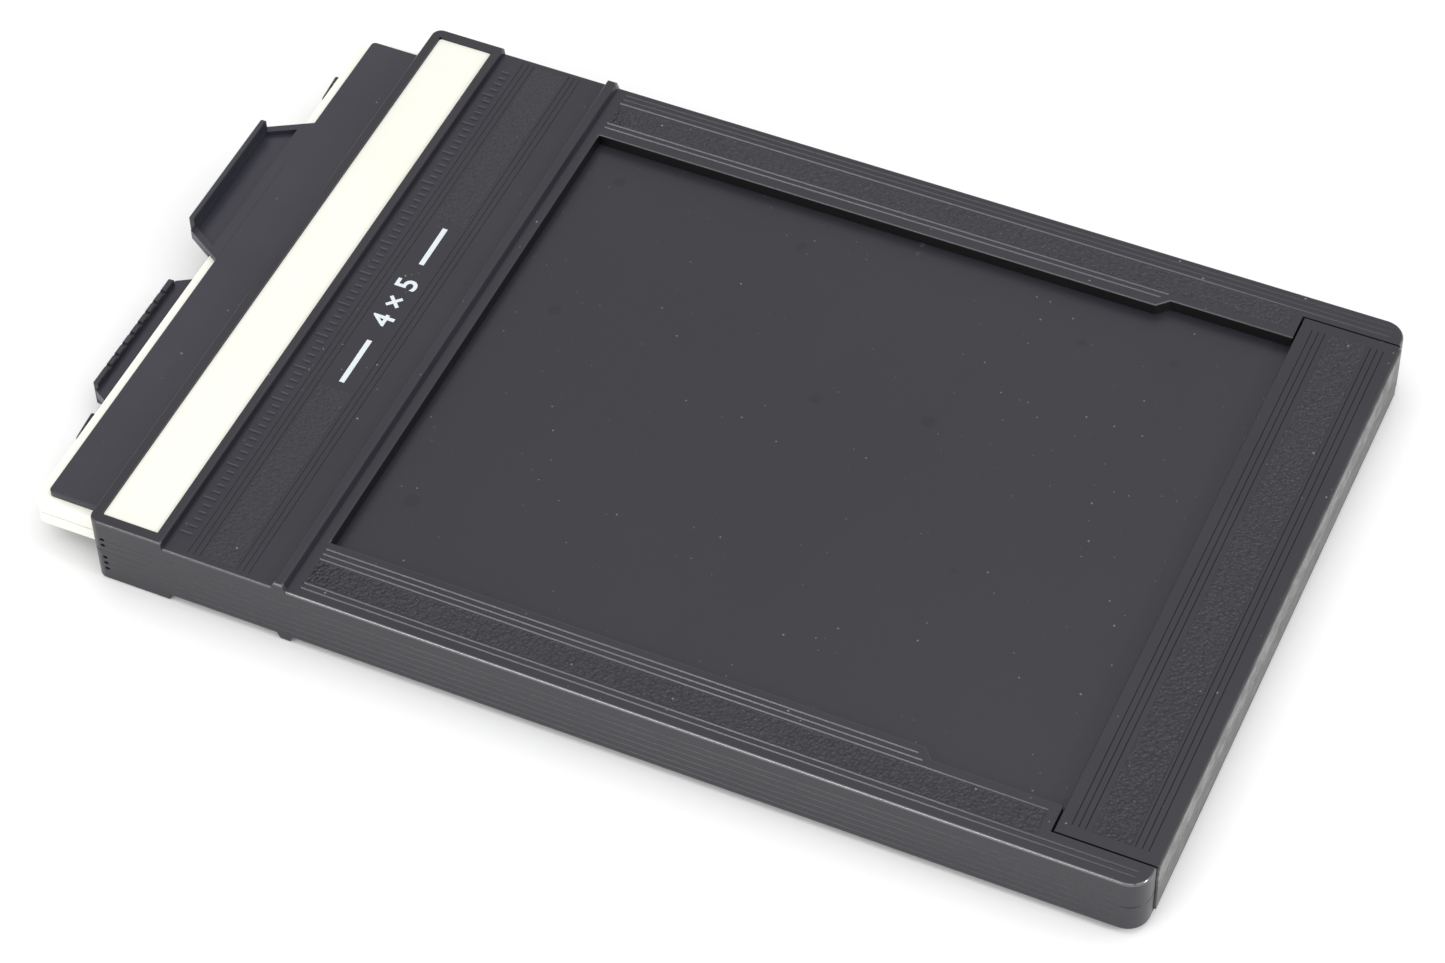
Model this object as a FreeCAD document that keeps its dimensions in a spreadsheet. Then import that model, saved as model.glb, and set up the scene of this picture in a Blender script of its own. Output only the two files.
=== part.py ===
"""Double-sided 4 x 5 inch sheet-film holder: two dark slides, two loading flaps, two slide locks.

Frame of reference: X runs along the holder from the slide handles (-X) to the loading flaps (+X),
Y across it, Z up.  The origin is the bottom centre of the bounding box.  The two faces of the holder
are the same mouldings, turned half a turn about the long axis that lies in the mid-plane, so every
sub-part of one side is drawn once, with Z measured from the mid-plane, and then placed.
"""
import FreeCAD
import Part
import math
import os
import Sketcher

os.makedirs("parts", exist_ok=True)
doc = FreeCAD.newDocument("film_holder")

# ---------------------------------------------------------------- driving dimensions, in millimetres
DIMENSIONS = (
    ("mid_height", 6.8, "height of the mid-plane above the lowest face"),
    ("body_half_width", 60.0, "half the width of the holder"),
    ("body_half_thick", 5.6, "half the thickness of the rails"),
    ("flange_out", -78.45, "outer end of the thick flange"),
    ("flange_foot", -65.35, "foot of the flange on the plateau"),
    ("flange_brow", -65.5, "inner top edge of the flange"),
    ("flange_top", 6.8, "top of the flange above the mid-plane"),
    ("body_end", 95.75, "flap end of the holder"),
    ("rib_near", -46.3, "locating rib, handle side"),
    ("rib_far", -43.85, "locating rib, window side"),
    ("rib_height", 1.2, "height of the rib above the plateau"),
    ("rib_slope_near", 0.5, "draft of the rib's handle side"),
    ("rib_slope_far", 0.45, "draft of the rib's window side"),
    ("window_start", -42.1, "window edge next to the rib"),
    ("window_half", 48.4, "half the width of the window"),
    ("jog_start", 56.85, "where the window begins to widen"),
    ("jog_end", 58.75, "where the window is at its widest"),
    ("wide_half", 50.3, "half the width of the widened window"),
    ("flap_seat", 79.4, "edge of the rails where the flap begins"),
    ("bay_half", 55.45, "half the width of the inner bay and the flap seat"),
    ("bay_start", -44.5, "closed end of the inner bay"),
    ("slot_floor", 2.6, "floor of the slide slot"),
    ("slot_roof", 3.5, "roof of the slide slot"),
    ("trap_start", -65.0, "light-trap pocket, handle side"),
    ("trap_end", -50.0, "light-trap pocket, window side"),
    ("trap_floor", 1.2, "floor of the light-trap pocket"),
    ("trap_half", 54.5, "half the length of the light-trap pocket"),
    ("corner_plan", 3.6, "plan radius at the flap end"),
    ("corner_flange", 1.7, "plan radius at the flange end"),
    ("edge_soft", 0.4, "radius of the outer top edges"),
    ("edge_window", 0.25, "radius of the window edges"),
    ("line_deep", 0.17, "depth of a line on the rails, a right-angled V"),
    ("fine_deep", 0.1, "depth of a line on the plateau and the flaps, a right-angled V"),
    ("line_pitch", 1.05, "spacing of the decorative lines"),
    ("near_line_in", 49.9, "innermost of the three inner lines on the near rail"),
    ("near_line_out", 57.15, "first of the two outer lines on the near rail"),
    ("far_line_in", 50.4, "innermost of the two inner lines on the far rail"),
    ("far_line_out", 56.55, "first of the three outer lines on the far rail"),
    ("rail_line_start", -42.15, "start of the lines on a rail"),
    ("near_line_end", 56.4, "end of the innermost line on the near rail"),
    ("far_line_end", 56.95, "end of the innermost line on the far rail"),
    ("third_line_end", 77.65, "end of the third inner line on the near rail"),
    ("outer_line_end", 93.6, "end of the outer lines on a rail"),
    ("bar_line_out", -61.35, "first outer line on the plateau"),
    ("bar_line_in", -52.75, "first inner line on the plateau"),
    ("bar_line_pitch", 1.0, "spacing of the plateau lines"),
    ("bar_line_half", 58.9, "half the length of the plateau lines"),
    ("side_line_low", 1.45, "line nearest the mid-plane on a side face"),
    ("side_line_pitch", 1.35, "spacing of the side lines"),
    ("side_line_deep", 0.16, "depth of a side line, a right-angled V"),
    ("side_line_start", -76.65, "start of the side lines"),
    ("side_line_end", 90.9, "end of the side lines"),
    ("pit_long", 0.7, "length of the pit at the start of a side line"),
    ("pit_wide", 0.55, "width of the pit"),
    ("pit_deep", 0.6, "depth of the pit"),
    ("seam_bevel", 0.16, "bevel on each half along the mid-plane seam"),
    ("label_start", -76.75, "writing strip, outer edge"),
    ("label_end", -66.9, "writing strip, inner edge"),
    ("label_half", 58.1, "half the length of the writing strip"),
    ("label_bed", 6.1, "bed of the writing strip"),
    ("label_thick", 0.3, "thickness of the writing strip"),
    ("label_corner", 0.5, "corner radius of the writing strip"),
    ("septum_half_thick", 0.45, "half the thickness of the septum"),
    ("septum_half", 55.45, "half the width of the septum"),
    ("septum_start", -44.5, "closed end of the septum"),
    ("septum_end", 92.6, "loading end of the septum"),
    ("septum_notch", 9.0, "radius of the thumb notch in the septum"),
    ("guide_end", 88.0, "loading end of the film guides"),
    ("guide_lip", 48.05, "inner edge of a film guide"),
    ("guide_wall", 50.5, "side wall that the film runs along"),
    ("guide_slot", 1.0, "top of the film slot"),
    ("guide_top", 2.5, "top of a film guide"),
    ("blade_low", 2.7, "underside of a dark-slide blade"),
    ("blade_high", 3.4, "top of a dark-slide blade"),
    ("blade_half", 55.0, "half the width of a dark-slide blade"),
    ("blade_tip", 93.05, "tip of the blade under the flap"),
    ("blade_corner", 2.0, "corner radius of the blade tip"),
    ("tongue_half", 53.0, "half the width of the tongue in the handle"),
    ("tongue_end", -86.5, "end of the tongue in the handle"),
    ("tongue_root", -78.6, "where the tongue meets the blade"),
    ("handle_in", -78.7, "inner end of the handle"),
    ("face_out", -88.45, "outer edge of the black handle face"),
    ("face_half", 55.3, "half the width of the black handle face"),
    ("face_top", 3.9, "top of the black handle face"),
    ("back_out", -90.55, "outer edge of the white handle back"),
    ("back_half", 56.9, "half the width of the white handle back"),
    ("back_low", 0.1, "inner face of the white handle back"),
    ("back_corner", 1.6, "corner radius of the white handle back"),
    ("back_soft", 0.45, "edge radius of the white handle back"),
    ("lock_way_low", 34.7, "lock clearance in the handle back, low side"),
    ("lock_way_high", 49.3, "lock clearance in the handle back, high side"),
    ("lock_way_roof", 1.05, "top of the lock clearance"),
    ("peg_across", 26.0, "spacing of the handle pegs"),
    ("peg_along", -83.2, "row of the handle pegs"),
    ("peg_radius", 1.5, "radius of a handle peg"),
    ("peg_low", 1.6, "end of a handle peg"),
    ("peg_play", 0.05, "play round a handle peg"),
    ("tab_out", -96.05, "outer face of the pull tab"),
    ("tab_neck", -89.85, "end of the tab's root fillet"),
    ("tab_flare_out", -95.4, "outer end of the tab flanks"),
    ("tab_root_low", -0.8, "tab root, low side"),
    ("tab_root_high", 33.7, "tab root, high side"),
    ("tab_neck_low", 0.0, "tab neck, low side"),
    ("tab_neck_high", 32.9, "tab neck, high side"),
    ("tab_tip_low", 3.3, "tab tip, low side"),
    ("tab_tip_high", 29.7, "tab tip, high side"),
    ("tab_high", 3.8, "outer face of the tab plate"),
    ("tab_low", 1.9, "inner face of the tab plate"),
    ("tab_step", -90.7, "where the tab plate reaches its full thickness"),
    ("dish_in", -90.35, "finger dish, inner edge"),
    ("dish_out", -94.9, "finger dish, outer edge"),
    ("dish_deep", 0.8, "depth of the finger dish"),
    ("dish_wall", 1.35, "wall beside the finger dish"),
    ("rim_in", -95.05, "inner face of the pull rim"),
    ("rim_low_end", 4.1, "pull rim, low end"),
    ("rim_high_end", 29.3, "pull rim, high end"),
    ("rim_high", 5.9, "outer edge of the pull rim"),
    ("rim_low", 0.6, "inner edge of the pull rim"),
    ("notch_pitch", 2.53, "spacing of the feel notches"),
    ("notch_first", 7.4, "first feel notch"),
    ("notch_wide", 0.8, "width of a feel notch"),
    ("notch_deep", 0.45, "depth of a feel notch"),
    ("rim_soft", 0.4, "rounding of the pull rim"),
    ("flap_start", 79.7, "front edge of a flap"),
    ("flap_half", 55.15, "half the width of a flap"),
    ("flap_under", 3.55, "underside of the flap plate"),
    ("flap_wall", 94.05, "inner face of the flap's end wall"),
    ("flap_foot", 0.05, "foot of the flap's end wall"),
    ("flap_soft", 0.3, "radius of the flap's end edge"),
    ("flap_line_half", 53.1, "half the length of the lines on a flap"),
    ("flap_line_near", 81.75, "first of the three lines near the window"),
    ("flap_line_far", 91.55, "first of the three lines near the end"),
    ("tape_thick", 0.3, "thickness of the hinge cloth"),
    ("tape_half", 54.9, "half the length of the hinge cloth"),
    ("tape_top", 5.2, "upper edge of the hinge cloth"),
    ("felt_thick", 0.45, "thickness of the light-trap felt"),
    ("felt_top", 2.66, "face of the light-trap felt"),
    ("felt_start", -62.5, "felt, handle side"),
    ("felt_end", -52.5, "felt, window side"),
    ("felt_half", 54.2, "half the length of the felt"),
    ("spring_thick", 0.2, "thickness of the trap spring"),
    ("spring_foot", 1.2, "underside of the spring's feet"),
    ("spring_start", -64.6, "spring, handle side"),
    ("spring_end", -50.4, "spring, window side"),
    ("lock_across", 42.0, "distance of a lock from the long axis"),
    ("lock_radius", 0.65, "radius of the lock wire"),
    ("lock_play", 0.05, "play round the lock wire"),
    ("lock_root", -67.6, "inner end of the lock wire"),
    ("lock_arm_along", -91.45, "centre line of the lock arm"),
    ("lock_bend", 1.2, "bend radius of the lock wire"),
    ("lock_arm_end", 5.95, "reach of the lock arm"),
    ("lock_arm_flare", 0.3, "outward flare of the lock arm"),
    ("collar_radius", 1.2, "radius of the lock collar"),
    ("collar_start", -72.2, "outer face of the lock collar"),
    ("collar_end", -71.2, "inner face of the lock collar"),
)
SIZE = {}
sheet = doc.addObject("Spreadsheet::Sheet", "Sizes")
for row, (alias, value, note) in enumerate(DIMENSIONS, start=1):
    sheet.set("A%d" % row, note)
    sheet.set("B%d" % row, str(value))
    sheet.setAlias("B%d" % row, alias)
    SIZE[alias] = value
doc.recompute()


# ---------------------------------------------------------------------------------------- small helpers
def q(*parts):
    """Return a measure as (expression, number): a sum of aliases, "-aliases", numbers and (factor, alias)."""
    words = []
    total = 0.0
    for part in parts:
        if isinstance(part, str):
            factor = -1.0 if part.startswith("-") else 1.0
            part = (factor, part.lstrip("-"))
        if isinstance(part, tuple):
            words.append("%r * Sizes.%s" % part)
            total += part[0] * SIZE[part[1]]
        else:
            words.append(repr(float(part)))
            total += part
    return " + ".join(words), total


def bind(obj, prop, measure):
    """Drive one property of an object from the sheet."""
    obj.setExpression(prop, measure[0])


def new_body(name, flipped=False, across=None):
    """Start a body on the mid-plane; a flipped body is turned half a turn about the long axis."""
    body = doc.addObject("PartDesign::Body", name)
    body.Label = name
    turn = FreeCAD.Rotation(FreeCAD.Vector(1, 0, 0), 180 if flipped else 0)
    body.Placement = FreeCAD.Placement(FreeCAD.Vector(0, 0, SIZE["mid_height"]), turn)
    bind(body, "Placement.Base.z", q("mid_height"))
    if across is not None:
        bind(body, "Placement.Base.y", across)
    return body


def plane_of(body, role):
    """Find one of the body's own origin planes."""
    return [item for item in body.Origin.OriginFeatures if item.Role == role][0]


def sketch_on(body, name, role, lift=None):
    """Add an empty sketch on an origin plane, lifted along the plane's normal."""
    sketch = body.newObject("Sketcher::SketchObject", name)
    sketch.AttachmentSupport = (plane_of(body, role), [""])
    sketch.MapMode = "FlatFace"
    if lift is not None:
        bind(sketch, "AttachmentOffset.Base.z", lift)
    return sketch


def polygon(sketch, points):
    """Draw a closed loop whose corners are all held by dimensions from the origin."""
    first = sketch.GeometryCount
    count = len(points)
    for index in range(count):
        here = points[index]
        there = points[(index + 1) % count]
        start = FreeCAD.Vector(here[0][1], here[1][1], 0)
        end = FreeCAD.Vector(there[0][1], there[1][1], 0)
        sketch.addGeometry(Part.LineSegment(start, end), False)
    for index in range(count):
        edge = first + index
        after = first + (index + 1) % count
        sketch.addConstraint(Sketcher.Constraint("Coincident", edge, 2, after, 1))
    for index, point in enumerate(points):
        for kind, measure in (("DistanceX", point[0]), ("DistanceY", point[1])):
            rule = Sketcher.Constraint(kind, -1, 1, first + index, 1, measure[1])
            number = sketch.addConstraint(rule)
            sketch.setExpression("Constraints[%d]" % number, measure[0])


def rectangle(sketch, left, right, low, high):
    """Draw a closed rectangle."""
    polygon(sketch, ((left, low), (right, low), (right, high), (left, high)))


def circle(sketch, along, across, radius):
    """Draw a circle held by its centre and radius."""
    centre = FreeCAD.Vector(along[1], across[1], 0)
    normal = FreeCAD.Vector(0, 0, 1)
    index = sketch.addGeometry(Part.Circle(centre, normal, radius[1]), False)
    for kind, measure in (("DistanceX", along), ("DistanceY", across)):
        number = sketch.addConstraint(Sketcher.Constraint(kind, -1, 1, index, 3, measure[1]))
        sketch.setExpression("Constraints[%d]" % number, measure[0])
    number = sketch.addConstraint(Sketcher.Constraint("Radius", index, radius[1]))
    sketch.setExpression("Constraints[%d]" % number, radius[0])


def extrude(body, name, kind, sketch, length, reverse=False, both=False):
    """Pad or pocket a sketch; a pocket that removes nothing stops the build."""
    before = body.Tip.Shape.Volume if body.Tip else 0.0
    feature = body.newObject(kind, name)
    feature.Profile = sketch
    feature.Length = length[1]
    bind(feature, "Length", length)
    feature.Reversed = reverse
    if both:
        feature.SideType = "Symmetric"
    sketch.Visibility = False
    body.Tip = feature
    doc.recompute()
    change = feature.Shape.Volume - before
    if abs(change) < 1e-6:
        raise RuntimeError("%s in %s changes nothing" % (name, body.Label))
    return feature


def pad(body, name, sketch, length, both=False):
    """Add material along the sketch's normal."""
    return extrude(body, name, "PartDesign::Pad", sketch, length, both=both)


def cut_up(body, name, sketch, length):
    """Remove material upward from the sketch."""
    return extrude(body, name, "PartDesign::Pocket", sketch, length, reverse=True)


def cut_down(body, name, sketch, length):
    """Remove material downward from the sketch."""
    return extrude(body, name, "PartDesign::Pocket", sketch, length)


def slit(body, name, sketch, length):
    """Remove material to both sides of the sketch."""
    return extrude(body, name, "PartDesign::Pocket", sketch, length, both=True)


def vee_up(sketch, centre, deep):
    """Draw the section of one decorative line: a right-angled V cut down into the top face."""
    left = (centre[0] + " + " + q("-" + deep, -0.1)[0], centre[1] - SIZE[deep] - 0.1)
    right = (centre[0] + " + " + q(deep, 0.1)[0], centre[1] + SIZE[deep] + 0.1)
    over = q("body_half_thick", 0.1)
    polygon(sketch, ((left, over), (centre, q("body_half_thick", "-" + deep)), (right, over)))


def near(value, target, slack=0.02):
    """Compare two lengths."""
    return abs(value - target) < slack


def flat_box(edge):
    """Return an edge's extents as plain numbers."""
    box = edge.BoundBox
    return box.XMin, box.XMax, box.YMin, box.YMax, box.ZMin, box.ZMax


def soften(body, name, radius, test, kind="PartDesign::Fillet"):
    """Round or bevel every edge of the body's tip that passes the test."""
    base = body.Tip
    edges = base.Shape.Edges
    chosen = ["Edge%d" % number for number, edge in enumerate(edges, start=1) if test(*flat_box(edge))]
    if not chosen:
        raise RuntimeError("%s in %s finds no edge" % (name, body.Label))
    feature = body.newObject(kind, name)
    feature.Base = (base, chosen)
    target = "Radius" if kind.endswith("Fillet") else "Size"
    setattr(feature, target, radius[1])
    bind(feature, target, radius)
    body.Tip = feature
    doc.recompute()
    if "Invalid" in feature.State or not feature.Shape.isValid():
        raise RuntimeError("%s in %s fails" % (name, body.Label))
    return feature


def rod_cut(body, name, radius, start, length, across):
    """Bore a straight round hole along X through the mid-plane."""
    sketch = sketch_on(body, name + "_ring", "YZ_Plane", start)
    circle(sketch, across, q(0), radius)
    return extrude(body, name, "PartDesign::Pocket", sketch, length, reverse=True)


# ------------------------------------------------------------------------------------- the frame halves
def frame_half(name, flipped):
    """Mould one face of the holder: rails, plateau, rib, flange, slide slot and inner bay."""
    body = new_body(name, flipped)
    wide = q("body_half_width")
    less = q("-body_half_width")
    over = q("body_end", 1)

    plan = sketch_on(body, name + "_plan", "XY_Plane")
    rectangle(plan, q("flange_out"), q("body_end"), less, wide)
    pad(body, name + "_blank", plan, q("body_half_thick"))

    top = q("flange_top")
    deck = q("body_half_thick")
    side = sketch_on(body, name + "_flange_side", "XZ_Plane")
    polygon(side, ((q("flange_out"), deck), (q("flange_foot"), deck), (q("flange_brow"), top),
                   (q("flange_out"), top)))
    pad(body, name + "_flange", side, q((2, "body_half_width")), both=True)

    crest = q("body_half_thick", "rib_height")
    ridge = sketch_on(body, name + "_rib_side", "XZ_Plane")
    polygon(ridge, ((q("rib_near"), deck), (q("rib_far"), deck), (q("rib_far", "-rib_slope_far"), crest),
                    (q("rib_near", "rib_slope_near"), crest)))
    pad(body, name + "_rib", ridge, q((2, "body_half_width")), both=True)

    def upright(at):
        def test(x0, x1, y0, y1, z0, z1):
            return near(x0, at) and near(x1, at) and near(abs(y0), 60) and near(y0, y1) and z1 - z0 > 1
        return test

    soften(body, name + "_end_corners", q("corner_plan"), upright(SIZE["body_end"]))
    soften(body, name + "_flange_corners", q("corner_flange"), upright(SIZE["flange_out"]))

    opening = sketch_on(body, name + "_window_plan", "XY_Plane", deck)
    lower = (
        (q("window_start"), q("-window_half")),
        (q("jog_start"), q("-window_half")),
        (q("jog_end"), q("-wide_half")),
        (q("flap_seat"), q("-wide_half")),
        (q("flap_seat"), q("-bay_half")),
        (over, q("-bay_half")),
    )
    upper = (
        (over, q("bay_half")),
        (q("flap_seat"), q("bay_half")),
        (q("flap_seat"), q("wide_half")),
        (q("jog_end"), q("wide_half")),
        (q("jog_start"), q("window_half")),
        (q("window_start"), q("window_half")),
    )
    polygon(opening, lower + upper)
    cut_down(body, name + "_window", opening, deck)

    def outer_top(x0, x1, y0, y1, z0, z1):
        rail = near(z0, SIZE["body_half_thick"]) and near(z1, SIZE["body_half_thick"])
        high = near(z0, SIZE["flange_top"]) and near(z1, SIZE["flange_top"])
        rim = near(max(abs(y0), abs(y1)), 60)
        back = near(x0, SIZE["flange_out"])
        brow = high and near(x0, SIZE["flange_brow"]) and near(x1, SIZE["flange_brow"])
        crown = high and x0 > SIZE["rib_near"] - 0.1 and x1 < SIZE["rib_far"] + 0.1
        return (rail and rim and x1 - x0 > 0.5) or \
            (high and (rim or back) and x1 < SIZE["flange_foot"]) or brow or crown

    soften(body, name + "_outer_edges", q("edge_soft"), outer_top)

    def mouth(x0, x1, y0, y1, z0, z1):
        level = near(z0, SIZE["body_half_thick"]) and near(z1, SIZE["body_half_thick"])
        inside = max(abs(y0), abs(y1)) < SIZE["wide_half"] + 0.1
        return level and inside and x0 > SIZE["window_start"] - 0.1 and x1 < SIZE["flap_seat"] + 0.1

    soften(body, name + "_window_edges", q("edge_window"), mouth)

    def seam(x0, x1, y0, y1, z0, z1):
        low = near(z0, 0) and near(z1, 0)
        side_edge = near(max(abs(y0), abs(y1)), 60)
        return low and (side_edge or near(x1, SIZE["flange_out"]))

    soften(body, name + "_seam", q("seam_bevel"), seam, kind="PartDesign::Chamfer")

    bay = sketch_on(body, name + "_bay_plan", "XY_Plane")
    rectangle(bay, q("bay_start"), over, q("-bay_half"), q("bay_half"))
    cut_up(body, name + "_bay", bay, q("slot_roof"))

    slot = sketch_on(body, name + "_slot_plan", "XY_Plane", q("slot_floor"))
    rectangle(slot, q("flange_out", -1), q("bay_start", 0.5), q("-bay_half"), q("bay_half"))
    cut_up(body, name + "_slot", slot, q("slot_roof", "-slot_floor"))

    trap = sketch_on(body, name + "_trap_plan", "XY_Plane", q("trap_floor"))
    rectangle(trap, q("trap_start"), q("trap_end"), q("-trap_half"), q("trap_half"))
    cut_up(body, name + "_trap", trap, q("slot_floor", "-trap_floor"))

    bed = sketch_on(body, name + "_label_plan", "XY_Plane", top)
    rectangle(bed, q("label_start"), q("label_end"), q("-label_half"), q("label_half"))
    cut_down(body, name + "_label_bed", bed, q("flange_top", "-label_bed"))

    for sign, word in ((1, "far"), (-1, "near")):
        across = q((sign, "lock_across"))
        rod_cut(body, "%s_%s_lock_bore" % (name, word), q("lock_radius", "lock_play"),
                q("flange_out", -1), q("lock_root", "-flange_out", 1.3), across)
        rod_cut(body, "%s_%s_collar_bore" % (name, word), q("collar_radius", (2, "lock_play")),
                q("collar_start", -0.15), q("collar_end", "-collar_start", 0.3), across)

    near_rail = [(-1, "near_line_in", step) for step in range(3)]
    far_rail = [(1, "far_line_in", step) for step in range(2)]
    outer = [(-1, "near_line_out", step) for step in range(2)] + [(1, "far_line_out", step) for step in range(3)]
    runs = (
        ("first_near", near_rail[:1], q("near_line_end")),
        ("second_near", near_rail[1:2], q("near_line_end", "line_pitch")),
        ("third_near", near_rail[2:], q("third_line_end")),
        ("first_far", far_rail[:1], q("far_line_end")),
        ("second_far", far_rail[1:], q("far_line_end", "line_pitch")),
        ("outer", outer, q("outer_line_end")),
    )
    for word, spots, stop in runs:
        notch = sketch_on(body, "%s_%s_line_side" % (name, word), "YZ_Plane", q("rail_line_start"))
        for sign, line, step in spots:
            vee_up(notch, q((sign, line), (sign * step, "line_pitch")), "line_deep")
        length = (stop[0] + " + " + q((-1.0, "rail_line_start"))[0], stop[1] - SIZE["rail_line_start"])
        extrude(body, "%s_%s_lines" % (name, word), "PartDesign::Pocket", notch, length, reverse=True)

    bars = sketch_on(body, name + "_bar_side", "XZ_Plane")
    for line in ("bar_line_out", "bar_line_in"):
        for step in range(3):
            vee_up(bars, q(line, (step, "bar_line_pitch")), "fine_deep")
    slit(body, name + "_bars", bars, q((2, "bar_line_half")))

    grooves = sketch_on(body, name + "_side_line_side", "YZ_Plane", q("side_line_start"))
    for sign, count in ((1, 3), (-1, 2)):
        for step in range(count):
            height = ("side_line_low", (step, "side_line_pitch"))
            out = q((sign, "body_half_width"), 0.1 * sign)
            tip = q((sign, "body_half_width"), (-sign, "side_line_deep"))
            polygon(grooves, ((out, q(*height, "-side_line_deep", -0.1)), (tip, q(*height)),
                              (out, q(*height, "side_line_deep", 0.1))))
    extrude(body, name + "_side_lines", "PartDesign::Pocket", grooves, q("side_line_end", "-side_line_start"),
            reverse=True)

    for sign, word, count in ((1, "far", 3), (-1, "near", 2)):
        start = q((-sign, "body_half_width"), sign * -1.0)
        pits = sketch_on(body, "%s_%s_pit_plan" % (name, word), "XZ_Plane", start)
        for step in range(count):
            height = ("side_line_low", (step, "side_line_pitch"))
            rectangle(pits, q("side_line_start"), q("side_line_start", "pit_long"),
                      q(*height, (-0.5, "pit_wide")), q(*height, (0.5, "pit_wide")))
        extrude(body, "%s_%s_pits" % (name, word), "PartDesign::Pocket", pits, q("pit_deep", 1), reverse=sign > 0)
    return body


# ------------------------------------------------------------------------------- parts inside the frame
def septum():
    """Cut the flat partition that carries one film on each face, with a thumb notch at its end."""
    body = new_body("septum")
    plan = sketch_on(body, "septum_plan", "XY_Plane", q("-septum_half_thick"))
    rectangle(plan, q("septum_start"), q("septum_end"), q("-septum_half"), q("septum_half"))
    pad(body, "septum_sheet", plan, q((2, "septum_half_thick")))
    bite = sketch_on(body, "septum_notch_plan", "XY_Plane", q("septum_half_thick"))
    circle(bite, q("septum_end", 5), q(0), q("septum_notch"))
    cut_down(body, "septum_notch", bite, q((2, "septum_half_thick")))
    return body


def film_guide(name, flipped, sign):
    """Draw one film guide: a rail whose lip holds the long edge of the film on the septum."""
    body = new_body(name, flipped)
    side = sketch_on(body, name + "_side", "YZ_Plane", q("septum_start"))
    base = q("septum_half_thick")
    outer = q((sign, "septum_half"))
    wall = q((sign, "guide_wall"))
    lip = q((sign, "guide_lip"))
    polygon(side, ((outer, base), (wall, base), (wall, q("guide_slot")), (lip, q("guide_slot")),
                   (lip, q("guide_top")), (outer, q("guide_top"))))
    pad(body, name + "_rail", side, q("guide_end", "-septum_start"))

    def lead(x0, x1, y0, y1, z0, z1):
        low = near(z0, SIZE["guide_slot"]) and near(z1, SIZE["guide_slot"])
        return near(x0, SIZE["guide_end"]) and near(x1, SIZE["guide_end"]) and low and y1 - y0 > 1

    soften(body, name + "_lead_in", q(0.8), lead, kind="PartDesign::Chamfer")
    return body


def trap_felt(name, flipped):
    """Cut the felt strip that rubs on the blade and keeps light out of the slot."""
    body = new_body(name, flipped)
    plan = sketch_on(body, name + "_plan", "XY_Plane", q("felt_top", "-felt_thick"))
    rectangle(plan, q("felt_start"), q("felt_end"), q("-felt_half"), q("felt_half"))
    pad(body, name + "_strip", plan, q("felt_thick"))
    return body


def trap_spring(name, flipped):
    """Fold the thin metal strip that presses the felt against the blade."""
    body = new_body(name, flipped)
    side = sketch_on(body, name + "_side", "XZ_Plane")
    foot = q("spring_foot")
    foot_top = q("spring_foot", "spring_thick")
    high = q("felt_top", "-felt_thick")
    high_under = q("felt_top", "-felt_thick", "-spring_thick")
    polygon(side, ((q("spring_start"), foot), (q("spring_start", 1.6), foot),
                   (q("felt_start", 1.9), high_under), (q("felt_end", -1.9), high_under),
                   (q("spring_end", -1.6), foot), (q("spring_end"), foot),
                   (q("spring_end"), foot_top), (q("spring_end", -1.45), foot_top),
                   (q("felt_end", -1.75), high), (q("felt_start", 1.75), high),
                   (q("spring_start", 1.45), foot_top), (q("spring_start"), foot_top)))
    pad(body, name + "_strip", side, q((2, "felt_half")), both=True)
    return body


def label(name, flipped):
    """Cut the white writing strip that lies in the flange."""
    body = new_body(name, flipped)
    plan = sketch_on(body, name + "_plan", "XY_Plane", q("label_bed"))
    rectangle(plan, q("label_start", 0.05), q("label_end", -0.05), q("-label_half", 0.05),
              q("label_half", -0.05))
    pad(body, name + "_strip", plan, q("label_thick"))

    def corner(x0, x1, y0, y1, z0, z1):
        return near(x0, x1) and near(y0, y1)

    soften(body, name + "_corners", q("label_corner"), corner)
    return body


# ------------------------------------------------------------------------------------------ dark slides
def slide_blade(name, flipped):
    """Cut the thin dark-slide blade with the tongue that the handle grips."""
    body = new_body(name, flipped)
    plan = sketch_on(body, name + "_plan", "XY_Plane", q("blade_low"))
    polygon(plan, (
        (q("tongue_end"), q("-tongue_half")), (q("tongue_root"), q("-tongue_half")),
        (q("tongue_root"), q("-blade_half")), (q("blade_tip"), q("-blade_half")),
        (q("blade_tip"), q("blade_half")), (q("tongue_root"), q("blade_half")),
        (q("tongue_root"), q("tongue_half")), (q("tongue_end"), q("tongue_half")),
    ))
    pad(body, name + "_sheet", plan, q("blade_high", "-blade_low"))
    holes = sketch_on(body, name + "_holes_plan", "XY_Plane", q("blade_high"))
    for step in (-1.5, -0.5, 0.5, 1.5):
        circle(holes, q("peg_along"), q((step, "peg_across")), q("peg_radius", "peg_play"))
    cut_down(body, name + "_holes", holes, q("blade_high", "-blade_low"))

    def tip(x0, x1, y0, y1, z0, z1):
        return near(x0, SIZE["blade_tip"]) and near(x1, SIZE["blade_tip"]) and near(y0, y1)

    soften(body, name + "_tip_corners", q("blade_corner"), tip)
    return body


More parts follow.
